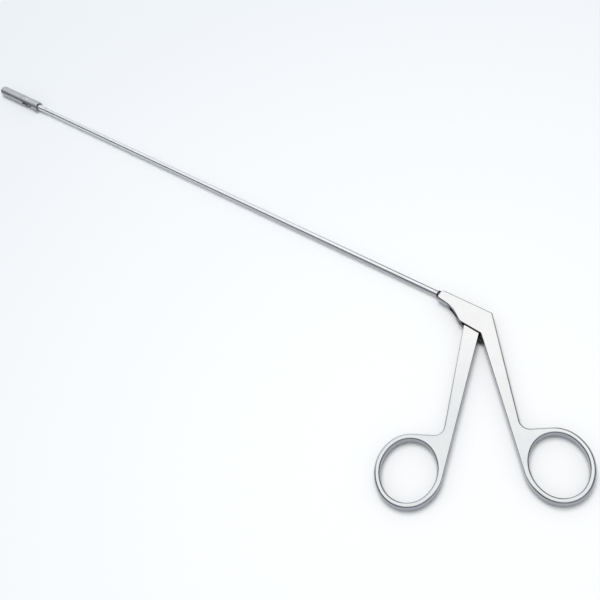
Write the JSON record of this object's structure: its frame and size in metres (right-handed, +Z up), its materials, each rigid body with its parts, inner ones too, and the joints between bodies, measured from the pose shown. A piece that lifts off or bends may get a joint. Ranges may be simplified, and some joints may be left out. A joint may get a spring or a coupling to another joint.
{
  "type": "biopsy forceps",
  "caption": "Rigid biopsy forceps with a slim straight shaft, double-action cup jaws worked by a pull rod, and flat scissor-type handles with oval finger rings.",
  "frame": {"origin": "on the flat underside of the fixed handle, straight below the shaft axis and level with the handle's hinge", "axes": "+X along the shaft from the jaws towards the finger rings, +Y from the rings towards the shaft, in the plane of the handles, +Z up through the handles' thickness, parallel to every hinge axis"},
  "size_m": [0.3763, 0.0944, 0.0052],
  "materials": {
    "satin_steel": "satin stainless steel faces with rounded, polished edges",
    "polished_steel": "polished stainless steel",
    "jaw_steel": "fine satin stainless steel",
    "rod_steel": "ground stainless steel",
    "silver_solder": "dull silver solder",
    "bearing_bronze": "plain bearing bronze",
    "guide_polymer": "plain white low-friction polymer"
  },
  "bodies": {
    "frame": {"fixed_handle": "satin_steel", "handle_pivot_screw": "polished_steel", "outer_tube": "polished_steel", "tube_collar": "silver_solder", "rear_rod_guide": "guide_polymer", "front_rod_guide": "guide_polymer", "head_ferrule": "polished_steel", "jaw_housing": "jaw_steel", "jaw_pivot_pin": "polished_steel"},
    "lever": {"moving_handle": "satin_steel", "pivot_sleeve": "bearing_bronze"},
    "rod": {"pull_rod": "rod_steel", "rod_lock_nut": "rod_steel", "rod_crosshead": "rod_steel", "crosshead_pin": "rod_steel", "rod_tongue": "rod_steel", "jaw_drive_pin": "rod_steel"},
    "upper_jaw": {"upper_jaw": "jaw_steel"},
    "lower_jaw": {"lower_jaw": "jaw_steel"}
  },
  "joints": [
    {"name": "handle_hinge", "type": "hinge", "parent": "frame", "child": "lever", "pos_m": [0, -0.0048, 0.0026], "axis": [0, 0, -1], "range_deg": [0, 15]},
    {"name": "rod_slide", "type": "slide", "parent": "frame", "child": "rod", "axis": [1, 0, 0], "range_m": [0, 0.00126]},
    {"name": "upper_jaw_hinge", "type": "hinge", "parent": "frame", "child": "upper_jaw", "pos_m": [-0.275, 0, 0.0026], "axis": [0, 0, -1], "range_deg": [0, 25]},
    {"name": "lower_jaw_hinge", "type": "hinge", "parent": "frame", "child": "lower_jaw", "pos_m": [-0.275, 0, 0.0026], "axis": [0, 0, 1], "range_deg": [0, 25]}
  ],
  "couplings": [
    {"joint": "rod_slide", "follows": "handle_hinge", "m_per_rad": 0.0048},
    {"joint": "upper_jaw_hinge", "follows": "handle_hinge", "ratio": 1.6667},
    {"joint": "lower_jaw_hinge", "follows": "handle_hinge", "ratio": 1.6667}
  ]
}
